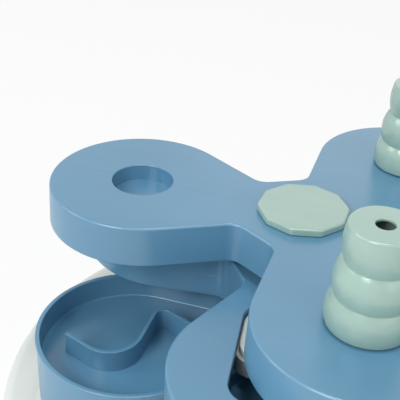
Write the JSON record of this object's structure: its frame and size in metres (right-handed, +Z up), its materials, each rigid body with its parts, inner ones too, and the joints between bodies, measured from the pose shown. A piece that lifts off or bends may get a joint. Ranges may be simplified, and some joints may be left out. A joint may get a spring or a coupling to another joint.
{
  "type": "dog treat puzzle",
  "caption": "Free-standing treat puzzle for dogs: three-lobed turning levels stacked on one post over a round base, with sliding lids over cups and lift-out cones.",
  "frame": {"origin": "on the floor under the middle of the post", "axes": "+Z up along the post; +Y towards one lobe of the tray, which points away from the picture's camera"},
  "size_m": [0.252, 0.252, 0.1421],
  "materials": {
    "base": "satin",
    "rubber_feet": "matte",
    "tray": "satin",
    "tray_screws": "zinc",
    "post": "satin",
    "post_screws": "zinc",
    "axle_screw": "zinc",
    "axle_washer": "zinc",
    "lower_washer": "natural",
    "upper_washer": "natural",
    "middle_bowl": "satin",
    "middle_cover": "satin",
    "middle_screws": "zinc",
    "lid_1": "satin",
    "lid_2": "satin",
    "lid_3": "satin",
    "top_plate": "satin",
    "hub_cap": "satin",
    "near_cone": "satin",
    "far_cone": "satin"
  },
  "bodies": {
    "base": {"base": "base", "rubber_feet": "rubber_feet", "tray": "tray", "tray_screws": "tray_screws", "post": "post", "post_screws": "post_screws", "axle_screw": "axle_screw", "axle_washer": "axle_washer", "lower_washer": "lower_washer", "upper_washer": "upper_washer", "hub_cap": "hub_cap"},
    "middle_level": {"middle_bowl": "middle_bowl", "middle_cover": "middle_cover", "middle_screws": "middle_screws"},
    "lid_1": {"lid_1": "lid_1"},
    "lid_2": {"lid_2": "lid_2"},
    "lid_3": {"lid_3": "lid_3"},
    "top_level": {"top_plate": "top_plate"},
    "near_cone": {"near_cone": "near_cone"},
    "far_cone": {"far_cone": "far_cone"}
  },
  "joints": [
    {"name": "middle_turn", "type": "hinge", "parent": "base", "child": "middle_level", "pos_m": [0, 0, 0.07], "axis": [0, 0, 1], "continuous": true},
    {"name": "top_turn", "type": "hinge", "parent": "base", "child": "top_level", "pos_m": [0, 0, 0.093], "axis": [0, 0, 1], "continuous": true},
    {"name": "lid_1_slide", "type": "slide", "parent": "middle_level", "child": "lid_1", "axis": [0.807, 0.5906, 0], "range_m": [0, 0.0245]},
    {"name": "lid_2_slide", "type": "slide", "parent": "middle_level", "child": "lid_2", "axis": [-0.915, 0.4035, 0], "range_m": [0, 0.0245]},
    {"name": "lid_3_slide", "type": "slide", "parent": "middle_level", "child": "lid_3", "axis": [0.108, -0.9942, 0], "range_m": [0, 0.0245]},
    {"name": "near_cone_lift", "type": "slide", "parent": "top_level", "child": "near_cone", "axis": [0, 0, 1], "range_m": [0, 0.05]},
    {"name": "far_cone_lift", "type": "slide", "parent": "top_level", "child": "far_cone", "axis": [0, 0, 1], "range_m": [0, 0.05]}
  ]
}
